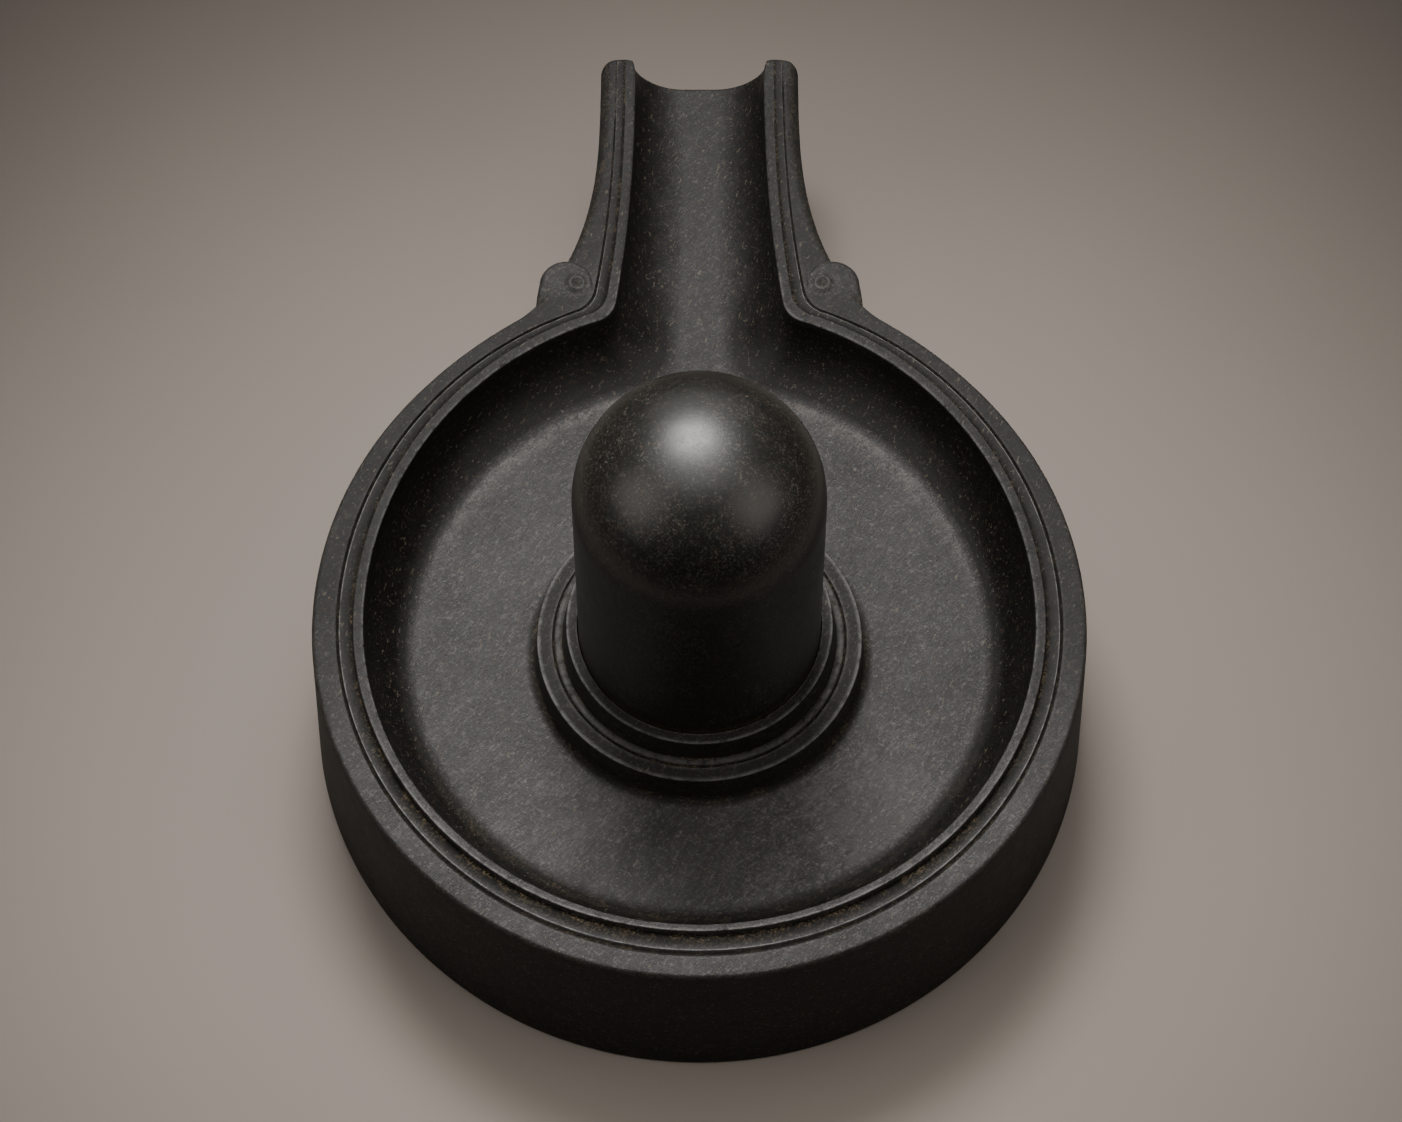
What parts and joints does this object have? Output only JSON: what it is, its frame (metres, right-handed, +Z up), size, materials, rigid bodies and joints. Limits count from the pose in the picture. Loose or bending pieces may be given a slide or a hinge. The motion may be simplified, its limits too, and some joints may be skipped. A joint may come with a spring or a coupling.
{
  "type": "shiva lingam",
  "caption": "Polished black stone lingam with a domed top, standing in a round stone yoni basin with a moulded rim and an open pouring spout.",
  "frame": {"origin": "centre of the drum's flat underside, on the axis of the drum and the lingam", "axes": "+Z up along the lingam's axis, +Y out along the spout, +X to the right of someone who looks along the spout"},
  "size_m": [0.326, 0.439, 0.2425],
  "materials": {
    "honed_stone": "honed near-black fine-grained stone, worn lighter on the edges, with brown dirt in the grooves",
    "polished_stone": "softly polished near-black fine-grained stone with pale flecks"
  },
  "bodies": {
    "root": {"yoni_base": "honed_stone", "lingam_shaft": "polished_stone"}
  },
  "joints": []
}
